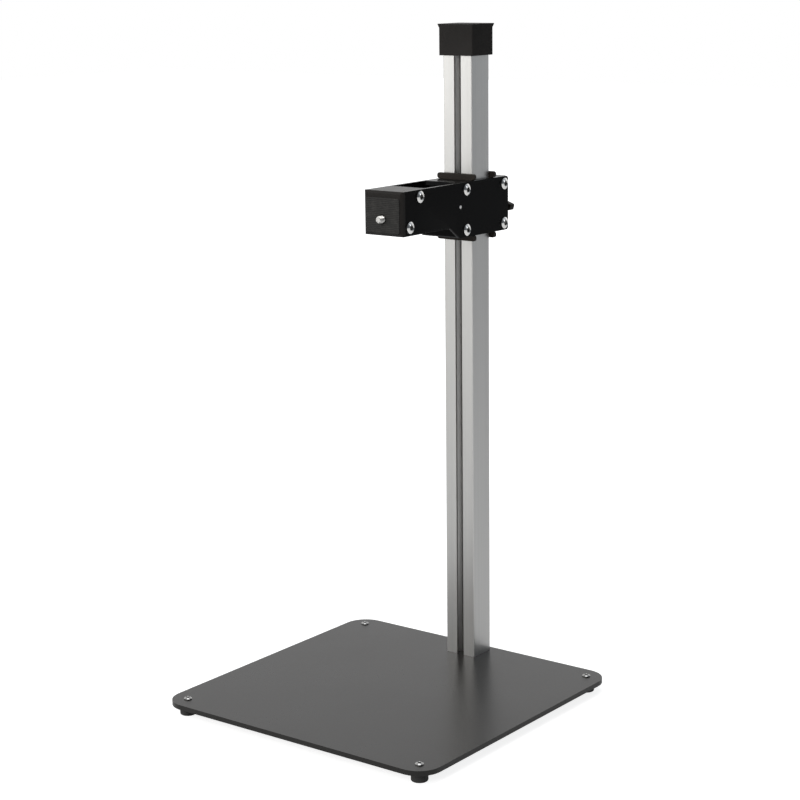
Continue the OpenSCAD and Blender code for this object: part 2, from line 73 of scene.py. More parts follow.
# Clamp screw and its wing knob
CLAMP_SCREW_D = 6
CLAMP_PITCH = 1
CLAMP_TIP_D = 4.6
CLAMP_TIP_L = 1.55
CLAMP_HUB_D = 17
CLAMP_HUB_L = 13
CLAMP_TURN = 17
WING_REACH = 20
WING_T = 7
WING_TIP_W = 6.2
WING_ROOT_W = 8
WING_SET_BACK = 0.8

# Thread depth as a share of the pitch
THREAD_DEPTH = 0.61

# Least turn in degrees of an edge that gets rounded, on the wings and on the CAD pieces
WING_EDGE_TURN = 28
CAD_EDGE_TURN = 32

# Grime and painted shade in the column's slots, each as a start and an end of a smooth change:
# distance from the middle at the slot's walls, depth below the face at the lips, and depth where
# it gets lighter
SLOT_WALL = (3.72, 3.9)
SLOT_LIP = (0.5, 2.2)
SLOT_FLOOR = (5.0, 8.4)

# Width of the bright line along the column's corners: partly rubbed wear, partly a painted
# highlight
CORNER_RUB_AND_HIGHLIGHT = 0.75

# Width of the seam where the tone of the camera block ends
BLOCK_SEAM = 0.1

# Spacing of the ribs on the face pad
RIB_SPACING = 1.6

# Reach of the painted shade and painted dark ring in a socket, and the heights between which
# screws count as foot screws, which are painted darker
SOCKET_SHADE = 1.8
FOOT_HEADS = (20, 25)

# Viewpoint: turn, pitch and roll in degrees, place in metres, lens and sensor width
VIEW_ANGLES = (37.382, 12.308, 0.675)
VIEW_PLACE = (1.0741, -1.4008, 0.6658)
VIEW_LENS = 90.89
VIEW_SENSOR_W = 36

# Strength of the soft light all round: as it lights matt surfaces, as mirrors show it, and what
# mirrors show less of it behind the camera
WORLD_LIGHT = 0.22
MIRRORED_WORLD = 0.41
MIRRORED_DIMMING = 0.31
WORLD_TINT = (0.86, 0.93, 1.0)

# Headings of the backdrop behind the stand and of the space behind the camera
BACKDROP_HEADING = (-0.75, 0.66, 0.0)
CAMERA_HEADING = (0.61, -0.79, 0.0)

# Light added to the floor: for the camera, for the camera far from the stand, and for all
# direct, mirrored and see-through rays
FLOOR_LIFT = 0.57
FLOOR_LIFT_AWAY = 0.4
FLOOR_LIFT_ALL = 0.27

body_of_node = {
    node: body
    for body, nodes in frame["record"]["behaviour"]["bodies"].items()
    for node in nodes
}
slot_of_node = {row["node"]: row["material_slot"] for row in frame["record"]["subparts"]}


def place_camera():
    """The viewpoint: in front of the stand, to its right and a little above the arm."""
    turn, pitch, roll = (math.radians(angle) for angle in VIEW_ANGLES)
    forward = Vector(
        (-math.sin(turn) * math.cos(pitch), math.cos(turn) * math.cos(pitch), -math.sin(pitch))
    )
    right = Vector((math.cos(turn), math.sin(turn), 0))
    up = right.cross(forward)
    across = math.cos(roll) * right - math.sin(roll) * up
    upright = math.sin(roll) * right + math.cos(roll) * up
    lens = bpy.data.cameras.new("viewpoint")
    lens.sensor_width = VIEW_SENSOR_W
    lens.lens = VIEW_LENS
    lens.clip_end = 50
    camera = bpy.data.objects.new("viewpoint", lens)
    bpy.context.scene.collection.objects.link(camera)
    axes = Matrix((across, upright, -forward)).transposed()
    camera.matrix_world = Matrix.Translation(VIEW_PLACE) @ axes.to_4x4()
    bpy.context.scene.camera = camera


# Shader maths


class Value:
    """One output of a shader node. Arithmetic on it adds Math nodes."""

    def __init__(self, nodes, socket):
        self.nodes = nodes
        self.socket = socket

    def math(self, operation, *values, clamp=False):
        settings = {"operation": operation, "use_clamp": clamp}
        return self.nodes.node("ShaderNodeMath", settings, dict(enumerate(values)))

    def __add__(self, other):
        return self.math("ADD", self, other)

    def __sub__(self, other):
        return self.math("SUBTRACT", self, other)

    def __rsub__(self, other):
        return self.math("SUBTRACT", other, self)

    def __mul__(self, other):
        return self.math("MULTIPLY", self, other)

    __radd__ = __add__
    __rmul__ = __mul__

    def magnitude(self):
        return self.math("ABSOLUTE", self)

    def clamped(self):
        return self.math("ADD", self, 0.0, clamp=True)

    def at_least(self, other):
        return self.math("MAXIMUM", self, other)

    def sine(self):
        return self.math("SINE", self)

    def stepped(self, low, high):
        """0 below low and 1 above high, with a smooth rise between them."""
        settings = {"interpolation_type": "SMOOTHSTEP"}
        inputs = {"Value": self, "From Min": low, "From Max": high}
        return self.nodes.node("ShaderNodeMapRange", settings, inputs)


class Nodes:
    """Adds nodes to a node tree."""

    def __init__(self, tree):
        self.tree = tree

    def node(self, kind, settings, inputs, output=0):
        made = self.tree.nodes.new(kind)
        for key, value in settings.items():
            setattr(made, key, value)
        for key, value in inputs.items():
            self.feed(made.inputs[key], value)
        return Value(self, made.outputs[output])

    def feed(self, socket, value):
        if isinstance(value, Value):
            self.tree.links.new(value.socket, socket)
        elif hasattr(value, "__len__") and len(value) == 3 and socket.type == "RGBA":
            socket.default_value = (*value, 1)
        else:
            socket.default_value = value

    def axes(self, vector):
        split = self.node("ShaderNodeSeparateXYZ", {}, {0: vector}).socket.node
        return [Value(self, split.outputs[axis]) for axis in "XYZ"]

    def along(self, vector, direction):
        """The share of a vector that lies along a direction."""
        settings = {"operation": "DOT_PRODUCT"}
        return self.node("ShaderNodeVectorMath", settings, {0: vector, 1: direction}, "Value")

    def mix(self, amount, first, second):
        made = self.node("ShaderNodeMix", {"data_type": "RGBA"}, {0: amount}).socket.node
        self.feed(made.inputs[6], first)
        self.feed(made.inputs[7], second)
        return Value(self, made.outputs[2])

    def seen_directly(self, with_gloss=True):
        """1 for camera rays, and for mirrored and see-through ones if wanted."""
        path = self.node("ShaderNodeLightPath", {}, {}).socket.node
        seen = Value(self, path.outputs["Is Camera Ray"])
        if not with_gloss:
            return seen
        for kind in ("Is Glossy Ray", "Is Transmission Ray"):
            seen = seen.at_least(Value(self, path.outputs[kind]))
        return seen


class Finish(Nodes):
    """A material with one Principled shader."""

    def __init__(self, name, **constants):
        self.material = bpy.data.materials.new(name)
        self.material.use_nodes = True
        super().__init__(self.material.node_tree)
        self.shader = self.tree.nodes["Principled BSDF"]
        for socket, value in constants.items():
            self.shader.inputs[socket.replace("_", " ")].default_value = value
        self.place = self.node("ShaderNodeTexCoord", {}, {}, output="Object")

    def about(self, centre):
        """Object coordinates measured from a point given in metres."""
        settings = {"operation": "SUBTRACT"}
        return self.node("ShaderNodeVectorMath", settings, {0: self.place, 1: centre})

    def stretched(self, x, y, z):
        settings = {"operation": "MULTIPLY"}
        return self.node("ShaderNodeVectorMath", settings, {0: self.place, 1: (x, y, z)})

    def noise(self, scale, detail=2.0, roughness=0.5, where=None, distortion=0.0):
        inputs = {
            "Vector": where or self.place,
            "Scale": scale,
            "Detail": detail,
            "Roughness": roughness,
            "Distortion": distortion,
        }
        return self.node("ShaderNodeTexNoise", {}, inputs)

    def cells(self, scale):
        inputs = {"Vector": self.place, "Scale": scale}
        return self.node("ShaderNodeTexVoronoi", {}, inputs, output="Distance")

    def worn_edges(self, radius):
        """Up to 1 on edges and corners, within radius millimetres, broken up by noise."""
        rounded = self.node("ShaderNodeBevel", {"samples": 4}, {"Radius": radius * MM})
        flat = self.node("ShaderNodeNewGeometry", {}, {}, output="True Normal")
        turn = self.along(rounded, flat)
        return (1 - turn).stepped(0.01, 0.16) * self.noise(420, 4, 0.6).stepped(0.42, 0.62)

    def openness(self, reach):
        """1 on open surfaces, less in recesses no wider than about reach millimetres."""
        inputs = {"Distance": reach * MM}
        settings = {"samples": 16, "only_local": True}
        return self.node("ShaderNodeAmbientOcclusion", settings, inputs, output="AO")

    def drive(self, socket, value):
        self.feed(self.shader.inputs[socket], value)

    def relief(self, *layers):
        """Bump from pairs of a height from 0 to 1 and its depth in millimetres."""
        height = None
        for value, depth in layers:
            part = value * depth
            height = part if height is None else height + part
        inputs = {"Height": height, "Strength": 1.0, "Distance": MM}
        self.drive("Normal", self.node("ShaderNodeBump", {}, inputs))


# Finishes


def times(colour, factor, lift=0.0):
    return tuple(min(1.0, c * factor + lift) for c in colour)


def base_paint():
    """Satin powder coat of the base plate: fine orange peel, soft clouds and rubbed edges."""
    coat = Finish("base_paint", IOR=1.5, Specular_IOR_Level=0.34)
    colour = (0.0136, 0.0125, 0.0115)
    dust_colour = (0.16, 0.155, 0.15)
    rubbed_colour = (0.060, 0.058, 0.055)
    peel = coat.noise(900, 3, 0.6)
    cloud = coat.noise(11, 4, 0.55)
    smear = coat.noise(36, 5, 0.7, distortion=1.5).stepped(0.56, 0.72)
    dust = coat.noise(1600, 2, 0.5).stepped(0.66, 0.74)
    worn = coat.worn_edges(0.9)
    base = coat.mix(cloud, times(colour, 0.85), times(colour, 1.18))
    base = coat.mix(dust * 0.18, base, dust_colour)
    coat.drive("Base Color", coat.mix(worn * 0.4, base, rubbed_colour))
    rough = 0.30 + (peel - 0.5) * 0.10 + (cloud - 0.5) * 0.07 - smear * 0.012 + worn * 0.06
    coat.drive("Roughness", rough.clamped())
    coat.relief((peel, 0.006), (coat.noise(260, 2), 0.010))
    return coat.material


def frame_paint():
    """Black plates and blocks with milling lines and rubbed edges. The camera block is greyer."""
    coat = Finish(
        "frame_paint",
        IOR=1.45,
        Specular_IOR_Level=0.035,
        Coat_IOR=1.12,
        Coat_Roughness=0.2,
    )
    colour = (0.0013, 0.0013, 0.0014)
    block_colour = (0.029, 0.027, 0.0255)
    speck_colour = (0.05, 0.05, 0.052)
    rubbed_colour = (0.085, 0.082, 0.078)
    block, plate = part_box("camera_block"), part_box("side_plate_right")
    x, y, _ = coat.axes(coat.place)
    seam = BLOCK_SEAM * MM
    between = 1 - x.magnitude().stepped(plate[0].x - seam, plate[0].x + seam)
    ahead = 1 - y.stepped(plate[0].y - 2 * seam, plate[0].y - seam)
    in_front = 1 - y.stepped(block[1].y, block[1].y + seam)
    on_block = in_front * between.at_least(ahead)
    mill = coat.noise(1.0, 3, 0.6, where=coat.stretched(900, 70, 900))
    cloud = coat.noise(38, 4, 0.6)
    speck = coat.noise(2200, 2, 0.5).stepped(0.64, 0.72)
    worn = coat.worn_edges(0.5)
    base = coat.mix(cloud, times(colour, 0.8), times(colour, 1.25))
    base = coat.mix(speck * 0.05, base, speck_colour)
    base = coat.mix(on_block * (0.8 + cloud * 0.2), base, block_colour)
    coat.drive("Base Color", coat.mix(worn * 0.45, base, rubbed_colour))
    coat.drive("Coat Weight", 0.55 - on_block * 0.30)
    rough = 0.33 + (mill - 0.5) * 0.16 + (cloud - 0.5) * 0.08 - worn * 0.08
    coat.drive("Roughness", rough.clamped())
    coat.relief((mill, 0.004), (coat.noise(700, 3), 0.004))
    return coat.material


def anodised():
    """Matt anodised aluminium: die lines, grime and painted shade in the slots, and corners with
    rubbed wear and a painted highlight.
    """
    skin = Finish("anodised")
    light_band, dark_band = (0.635, 0.63, 0.62), (0.55, 0.545, 0.535)
    line_colour, spot_colour = (0.46, 0.455, 0.445), (0.30, 0.29, 0.28)
    rubbed_colour, grime_and_shade_colour = (0.82, 0.81, 0.79), (0.110, 0.096, 0.083)
    low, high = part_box("column")
    middle = (low + high) / 2
    x, y = (part.magnitude() for part in skin.axes(skin.about(middle))[:2])
    lines = skin.noise(1.0, 3, 0.62, where=skin.stretched(1900, 1900, 4))
    bands = skin.noise(1.0, 2, 0.5, where=skin.stretched(380, 380, 1.6))
    cloud = skin.noise(16, 3, 0.55)
    side, face = (high.x - low.x) / 2, (high.y - low.y) / 2
    within = 1 - x.stepped(SLOT_WALL[0] * MM, SLOT_WALL[1] * MM)
    below = 1 - y.stepped(face - SLOT_LIP[1] * MM, face - SLOT_LIP[0] * MM)
    deep = 1 - y.stepped(face - SLOT_FLOOR[1] * MM, face - SLOT_FLOOR[0] * MM)
    # Mask of the slots, where grime and painted shade darken the colour, less so deep inside
    slot = within * below * (1 - deep * 0.45)
    near = CORNER_RUB_AND_HIGHLIGHT * MM
    on_side = x.stepped(side - near, side - near / 2)
    on_face = y.stepped(face - near, face - near / 2)
    corner = on_side * on_face
    # The bright line on the corners is partly rubbed wear and partly a painted highlight
    rubbed_and_highlight = corner * (0.55 + lines * 0.6)
    spot = skin.noise(900, 3, 0.6).stepped(0.68, 0.76)
    base = skin.mix(bands, dark_band, light_band)
    base = skin.mix(lines * 0.3, base, line_colour)
    base = skin.mix(spot * 0.12, base, spot_colour)
    base = skin.mix(rubbed_and_highlight.clamped(), base, rubbed_colour)
    # The slots are darkened partly by grime and partly by painted shade
    skin.drive("Base Color", skin.mix(slot * 0.80, base, grime_and_shade_colour))
    skin.drive("Metallic", (1 - rubbed_and_highlight * 0.75).clamped())
    rough = 0.36 + (lines - 0.5) * 0.16 + (cloud - 0.5) * 0.08 + slot * 0.18
    skin.drive("Roughness", rough.clamped())
    skin.relief((lines, 0.004), (bands, 0.006))
    return skin.material


def moulded(name, colour, rough, grain, shine):
    """Moulded plastic: spark-eroded grain, flow clouds and corners rubbed smooth."""
    skin = Finish(name, IOR=1.46, Specular_IOR_Level=shine)
    pits = skin.cells(760)
    fine = skin.noise(1500, 3, 0.6)
    cloud = skin.noise(34, 4, 0.6)
    flow = skin.noise(1.0, 3, 0.6, where=skin.stretched(60, 60, 14), distortion=0.8)
    worn = skin.worn_edges(0.7)
    base = skin.mix(cloud, times(colour, 0.78), times(colour, 1.2))
    base = skin.mix(flow.stepped(0.5, 0.75) * 0.3, base, times(colour, 1.5, 0.002))
    skin.drive("Base Color", skin.mix(worn * 0.5, base, times(colour, 2.4, 0.012)))
    rough_value = rough + (cloud - 0.5) * 0.12 + (fine - 0.5) * 0.08 - worn * 0.12
    skin.drive("Roughness", rough_value.clamped())
    skin.relief((pits, 0.012 * grain), (fine, 0.007 * grain), (skin.noise(190, 3), 0.012))
    return skin.material


def rubber(name, colour, rough):
    """Matt rubber: bloom, dust caught on it and a sandy mould texture."""
    skin = Finish(name, IOR=1.5, Specular_IOR_Level=0.3)
    bloom = skin.noise(150, 5, 0.65).stepped(0.42, 0.75)
    sand = skin.noise(1300, 3, 0.6)
    dust = skin.noise(2400, 2, 0.5).stepped(0.63, 0.70)
    base = skin.mix(bloom, colour, times(colour, 1.7, 0.008))
    skin.drive("Base Color", skin.mix(dust * 0.25, base, (0.17, 0.165, 0.155)))
    skin.drive("Roughness", (rough + bloom * 0.16 + (sand - 0.5) * 0.08).clamped())
    skin.relief((sand, 0.016), (skin.noise(240, 2), 0.022))
    return skin.material


def face_rubber():
    """Rubber of the face pad, with ribs across the arm."""
    skin = Finish("face_rubber", IOR=1.5, Specular_IOR_Level=0.3)
    _, _, height = skin.axes(skin.place)
    rib = (height * (math.tau / (RIB_SPACING * MM))).sine() * 0.5 + 0.5
    sand = skin.noise(1300, 3, 0.6)
    bloom = skin.noise(170, 5, 0.65).stepped(0.4, 0.75)
    base = skin.mix(bloom, (0.014, 0.0135, 0.013), (0.034, 0.032, 0.03))
    skin.drive("Base Color", skin.mix(rib * 0.35, base, (0.05, 0.048, 0.045)))
    skin.drive("Roughness", (0.78 + (sand - 0.5) * 0.1 - rib * 0.08).clamped())
    skin.relief((rib, 0.12), (sand, 0.016))
    return skin.material


def bright_screws():
    """Bright smeared plate with painted shade in each socket and a dark ring of painted shade at
    its mouth. The foot screws are painted darker, a painted dark reflection.
    """
    plate = Finish("bright_screws", Metallic=1.0)
    smeared, clean, worn_colour = (0.88, 0.87, 0.85), (0.98, 0.97, 0.95), (0.95, 0.94, 0.92)
    foot_dark_reflection_colour, hollow_shade_colour = (0.16, 0.16, 0.158), (0.05, 0.048, 0.045)
    ring_shade_colour = (0.010, 0.009, 0.008)
    smear = plate.noise(260, 4, 0.65)
    fine = plate.noise(2600, 2, 0.5)
    worn = plate.worn_edges(0.25)
    openness = plate.openness(SOCKET_SHADE)
    # Painted shade in the sockets and a dark ring of painted shade round their mouths, found by
    # the occlusion node
    hollow_shade = 1 - openness.stepped(0.25, 0.8)
    mouth = openness.stepped(0.42, 0.60) * (1 - openness.stepped(0.88, 0.97))
    _, _, height = plate.axes(plate.place)
    on_base = 1 - height.stepped(FOOT_HEADS[0] * MM, FOOT_HEADS[1] * MM)
    base = plate.mix(smear, smeared, clean)
    base = plate.mix(worn * 0.3, base, worn_colour)
    # The foot screws are painted darker, a painted dark reflection
    base = plate.mix(on_base * (0.62 + smear * 0.2), base, foot_dark_reflection_colour)
    base = plate.mix(hollow_shade * 0.3, base, hollow_shade_colour)
    plate.drive("Base Color", plate.mix(mouth * 0.94, base, ring_shade_colour))
    rough = 0.065 + (smear - 0.5) * 0.05 + (fine - 0.5) * 0.03 + hollow_shade * 0.3
    plate.drive("Roughness", rough.clamped())
    plate.relief((fine, 0.0012), (smear, 0.004))
    return plate.material


def plain_metal(name, colour, rough):
    """Bare or zinc-plated metal: crystal clouds, fine scratches and dull patches."""
    metal = Finish(name, Metallic=1.0)
    cloud = metal.noise(210, 4, 0.6)
    scratch = metal.noise(1.0, 3, 0.7, where=metal.stretched(1500, 240, 1500))
    patch = metal.noise(60, 4, 0.6).stepped(0.5, 0.7)
    base = metal.mix(cloud, times(colour, 0.82), times(colour, 1.08))
    metal.drive("Base Color", metal.mix(patch * 0.3, base, times(colour, 0.6)))
    rough_value = rough + (scratch - 0.5) * 0.14 + patch * 0.10 + (cloud - 0.5) * 0.06
    metal.drive("Roughness", rough_value.clamped())
    metal.relief((scratch, 0.004), (cloud, 0.003))
    return metal.material


finishes = {
    "base_paint": base_paint(),
    "frame_paint": frame_paint(),
    "anodised": anodised(),
    "cap_plastic": moulded("cap_plastic", (0.0310, 0.0292, 0.0280), 0.5, 0.8, 0.02),
    "pad_plastic": moulded("pad_plastic", (0.028, 0.0235, 0.0200), 0.5, 1.0, 0.12),
    "knob_plastic": moulded("knob_plastic", (0.0135, 0.0112, 0.0080), 0.46, 1.0, 0.15),
    "foot_rubber": rubber("foot_rubber", (0.044, 0.0434, 0.0425), 0.68),
    "face_rubber": face_rubber(),
    "bright_screws": bright_screws(),
    "plain_steel": plain_metal("plain_steel", (0.60, 0.59, 0.575), 0.3),
    "brass": plain_metal("brass", (0.68, 0.50, 0.21), 0.3),
}


def dress(piece, slot):
    piece.data.materials.clear()
    piece.data.materials.append(finishes[slot])


# Mesh work


def closed(bm):
    """Merges doubles, closes what is open and turns the faces outwards."""
    bmesh.ops.remove_doubles(bm, verts=bm.verts, dist=0.001 * MM)
    rims = [edge for edge in bm.edges if len(edge.link_faces) == 1]
    if rims:
        bmesh.ops.holes_fill(bm, edges=rims, sides=0)
    bmesh.ops.recalc_face_normals(bm, faces=bm.faces)


def round_edges(bm, edges, width, segments):
    bmesh.ops.bevel(
        bm,
        geom=edges,
        offset=width * MM,
        offset_type="OFFSET",
        segments=segments,
        profile=0.5,
        affect="EDGES",
        clamp_overlap=True,
        material=-1,
    )


def turning_edges(bm, over):
    """The edges whose two faces turn by more than so many degrees."""
    return [
        edge
        for edge in bm.edges
        if len(edge.link_faces) == 2 and edge.calc_face_angle(0) > math.radians(over)
    ]


def turned(outline, steps):
    """A surface turned about Z from a line of (radius, height) points."""
    bm = bmesh.new()
    points = [bm.verts.new((r * MM, 0, z * MM)) for r, z in outline]
    line = [bm.edges.new(pair) for pair in zip(points, points[1:])]
    bmesh.ops.spin(
        bm,
        geom=points + line,
        cent=(0, 0, 0),
        axis=(0, 0, 1),
        dvec=(0, 0, 0),
        angle=math.tau,
        steps=steps,
        use_merge=True,
        use_duplicate=False,
    )
    bmesh.ops.remove_doubles(bm, verts=bm.verts, dist=0.001 * MM)
    return bm


def arc(centre_r, centre_z, radius, start, end, steps):
    """Points of an arc for an outline, with angles in degrees from the radius direction."""
    turns = [math.radians(start + (end - start) * k / steps) for k in range(steps + 1)]
    return [(centre_r + radius * math.cos(t), centre_z + radius * math.sin(t)) for t in turns]


def grow(bm, faces, by):
    """Extrudes faces along a vector and returns the faces of the moved end."""
    grown = bmesh.ops.extrude_face_region(bm, geom=faces)["geom"]
    moved = [item for item in grown if isinstance(item, bmesh.types.BMVert)]
    bmesh.ops.translate(bm, verts=moved, vec=by)
    return [item for item in grown if isinstance(item, bmesh.types.BMFace)]


def join(target, bm, matrix):
    """Adds a copy of one mesh to another, moved by a matrix, and frees the first."""
    bmesh.ops.transform(bm, matrix=matrix, verts=bm.verts)
    part = bpy.data.meshes.new("part")
    bm.to_mesh(part)
    bm.free()
    target.from_mesh(part)
    bpy.data.meshes.remove(part)


def standing(place, looks, turn=0.0):
    """The matrix that takes Z to the direction looks and the origin to place, in metres."""
    tilt = Vector((0, 0, 1)).rotation_difference(Vector(looks)).to_matrix().to_4x4()
    return Matrix.Translation(place) @ tilt @ Matrix.Rotation(math.radians(turn), 4, "Z")


def piece_from(bm, name, node_names, crease):
    """Makes the object of a finished mesh. It rides and is finished as the nodes it replaces."""
    mesh = bpy.data.meshes.new(name)
    bm.to_mesh(mesh)
    bm.free()
    for face in mesh.polygons:
        face.use_smooth = True
    mesh.set_sharp_from_angle(angle=math.radians(crease))
    piece = bpy.data.objects.new(name, mesh)
    bpy.context.scene.collection.objects.link(piece)
    dress(piece, slot_of_node[node_names[0]])
    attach(piece, body_of_node[node_names[0]])
    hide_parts(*node_names)
    return piece


def softened(node, width):
    """The CAD piece with its sharp edges rounded off by a small bevel."""
    bm = bmesh.new()
    bm.from_mesh(frame["nodes"][node].data)
    bmesh.ops.remove_doubles(bm, verts=bm.verts, dist=0.002 * MM)
    bmesh.ops.dissolve_limit(
        bm, angle_limit=math.radians(0.3), verts=bm.verts, edges=bm.edges, delimit=set()
    )
    piece = piece_from(bm, node + "_softened", (node,), 30.0)
    bevel = piece.modifiers.new("rounded_edges", "BEVEL")
    bevel.width = width * MM
    bevel.segments = 3
    bevel.limit_method = "ANGLE"
    bevel.angle_limit = math.radians(CAD_EDGE_TURN)
    bevel.miter_outer = "MITER_ARC"
    bevel.harden_normals = True
    return piece


# Screws


def socket_screw(shank_d, head_d, head_h, socket_af, shank_l):
    """A round-headed screw with a hexagon socket, its head standing on Z = 0."""
    rim = head_h * 0.38
    crown = head_h - rim
    dome_r = (crown * crown + head_d * head_d / 4) / (2 * crown)
    hexagon_r = socket_af / 2 / math.cos(math.radians(30))
    chamfer = socket_af * 0.17
    mouth_r = hexagon_r + chamfer
    mouth_z = head_h - dome_r + math.sqrt(dome_r * dome_r - mouth_r * mouth_r)
    level_z = mouth_z - chamfer * 0.8
    depth = head_h * 0.58
    start = math.degrees(math.acos(head_d / 2 / dome_r))
    end = math.degrees(math.acos(mouth_r / dome_r))
    outline = [
        (0, -shank_l),
        (shank_d / 2 - 0.5, -shank_l),
        (shank_d / 2, 0.5 - shank_l),
        (shank_d / 2, 0),
        (head_d / 2 - 0.2, 0),
        (head_d / 2, 0.2),
        *arc(0, head_h - dome_r, dome_r, start, end, 7),
        (hexagon_r + 0.02, level_z + 0.01),
    ]
    bm = turned(outline, 48)
    mouth = [edge for edge in bm.edges if len(edge.link_faces) == 1]
    level = Matrix.Translation((0, 0, level_z * MM))
    hexagon = bmesh.ops.create_circle(bm, segments=6, radius=hexagon_r * MM, matrix=level)
    sides = list({edge for vert in hexagon["verts"] for edge in vert.link_edges})
    bmesh.ops.subdivide_edges(bm, edges=sides, cuts=7)
    socket = [edge for edge in bm.edges if not edge.link_faces]
    bmesh.ops.bridge_loops(bm, edges=mouth + socket)
    sunk = bmesh.ops.extrude_edge_only(bm, edges=socket)["geom"]
    floor = [item for item in sunk if isinstance(item, bmesh.types.BMVert)]
    bmesh.ops.translate(bm, verts=floor, vec=(0, 0, -depth * MM))
    closed(bm)
    return bm


def screws(name, node, sizes, places, looks):
    """The screws of one node, each turned its own way about its axis."""
    bm = bmesh.new()
    for count, place in enumerate(places):
        join(bm, socket_screw(**sizes), standing(place, looks, 23 + 37 * count))
    return piece_from(bm, name, (node,), 26.0)


def inner_corners(node, radius, axis):
    """The corners of a node's box on the plane of an axis, moved in by a head's radius."""
    low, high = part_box(node)
    first, second = (a for a in range(3) if a != axis)
    corners = []
    for a in (low[first] + radius * MM, high[first] - radius * MM):
        for b in (low[second] + radius * MM, high[second] - radius * MM):
            corner = Vector(low)
            corner[first], corner[second] = a, b
            corners.append(corner)
    return corners


def build_screws():
    head_r = SCREW["head_d"] / 2
    for side, sign in (("left", -1), ("right", 1)):
        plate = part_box("side_plate_" + side)
        face = plate[0].x if sign < 0 else plate[1].x
        looks = (sign, 0, 0)
        four = inner_corners("carriage_screws_" + side, head_r, 0)
        front_low, _, _, back_high = inner_corners("arm_screws_" + side, head_r, 0)
        for places, name in ((four, "carriage_screws_"), ((front_low, back_high), "arm_screws_")):
            on_plate = [Vector((face, place.y, place.z)) for place in places]
            screws(name + side + "_turned", name + side, SCREW, on_plate, looks)
    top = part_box("base_plate")[1].z
    feet = inner_corners("foot_screws", FOOT_SCREW["head_d"] / 2, 2)
    on_base = [Vector((place.x, place.y, top)) for place in feet]
    screws("foot_screws_turned", "foot_screws", FOOT_SCREW, on_base, (0, 0, 1))
    low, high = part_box("column_bolts")
    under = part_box("column_washers")[0].z
    middle = (low.y + high.y) / 2
    reach = COLUMN_BOLT["head_d"] / 2 * MM
    pair = [Vector((x, middle, under)) for x in (low.x + reach, high.x - reach)]
    screws("column_bolts_turned", "column_bolts", COLUMN_BOLT, pair, (0, 0, -1))


def thread(bm, major_d, pitch, low, high, tip_r):
    """Adds a screw thread about Z from low to high, its upper end chamfered down to tip_r."""
    major = major_d / 2
    root = major - THREAD_DEPTH * pitch
    ridge = [(root, 0), (root, 0.12), (major, 0.44), (major, 0.56), (root, 0.88), (root, 1)]
    turns = math.ceil((high - low) / pitch) + 3
    steps = 36
    rod = bmesh.new()
    start = low - pitch * 1.5
    points = [rod.verts.new((r * MM, 0, (start + h * pitch) * MM)) for r, h in ridge]
    line = [rod.edges.new(pair) for pair in zip(points, points[1:])]
    bmesh.ops.spin(
        rod,
        geom=points + line,
        cent=(0, 0, 0),
        axis=(0, 0, 1),
        dvec=(0, 0, pitch * MM / steps),
        angle=math.tau * turns,
        steps=steps * turns,
        use_merge=False,
        use_duplicate=False,
    )
    bmesh.ops.remove_doubles(rod, verts=rod.verts, dist=0.004 * MM)
    for vert in rod.verts:
        radius = math.hypot(vert.co.x, vert.co.y)
        allowed = max(tip_r, tip_r + high - vert.co.z / MM) * MM
        if radius > allowed:
            vert.co.x *= allowed / radius
            vert.co.y *= allowed / radius
    for height, outwards in ((low, -1), (high, 1)):
        everything = rod.verts[:] + rod.edges[:] + rod.faces[:]
        cut = bmesh.ops.bisect_plane(
            rod,
            geom=everything,
            dist=0.0005 * MM,
            plane_co=(0, 0, height * MM),
            plane_no=(0, 0, outwards),
            clear_outer=True,
        )["geom_cut"]
        rims = [item for item in cut if isinstance(item, bmesh.types.BMEdge)]
        bmesh.ops.holes_fill(rod, edges=rims, sides=0)
    closed(rod)
    join(bm, rod, Matrix())


def camera_screw():
    """The tripod screw: a real thread in front of the face pad, on a plain shank."""
    low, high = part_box("camera_screw")
    length = (high.y - low.y) / MM
    shank = CAMERA_SHANK_D / 2
    back = CAMERA_SCREW_OUT - length
    outline = [(0, back), (shank - 0.3, back), (shank, back + 0.3), (shank, 0), (shank - 0.4, 0.3)]
    bm = turned([*outline, (0, 0.3)], 48)
    closed(bm)
    thread(bm, CAMERA_SCREW_D, CAMERA_PITCH, 0, CAMERA_SCREW_OUT, CAMERA_SCREW_D / 2 - 0.9)
    place = Vector((0, low.y + CAMERA_SCREW_OUT * MM, (low.z + high.z) / 2))
    bmesh.ops.transform(bm, matrix=standing(place, (0, -1, 0)), verts=bm.verts)
    return piece_from(bm, "camera_screw_threaded", ("camera_screw",), 40.0)


def clamp_screw():
    """The clamp screw: a thread and a turned-down tip that sits in the brake pad."""
    low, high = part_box("clamp_screw")
    length = (high.y - low.y) / MM
    tip = CLAMP_TIP_D / 2
    outline = [(0, -1), (tip, -1), (tip, CLAMP_TIP_L - 0.4), (tip - 0.4, CLAMP_TIP_L)]
    bm = turned([*outline, (0, CLAMP_TIP_L)], 48)
    closed(bm)
    thread(bm, CLAMP_SCREW_D, CLAMP_PITCH, CLAMP_TIP_L - length, 0, tip)
    place = Vector((0, low.y + CLAMP_TIP_L * MM, (low.z + high.z) / 2))
    bmesh.ops.transform(bm, matrix=standing(place, (0, -1, 0)), verts=bm.verts)
    return piece_from(bm, "clamp_screw_threaded", ("clamp_screw",), 40.0)


# Knobs


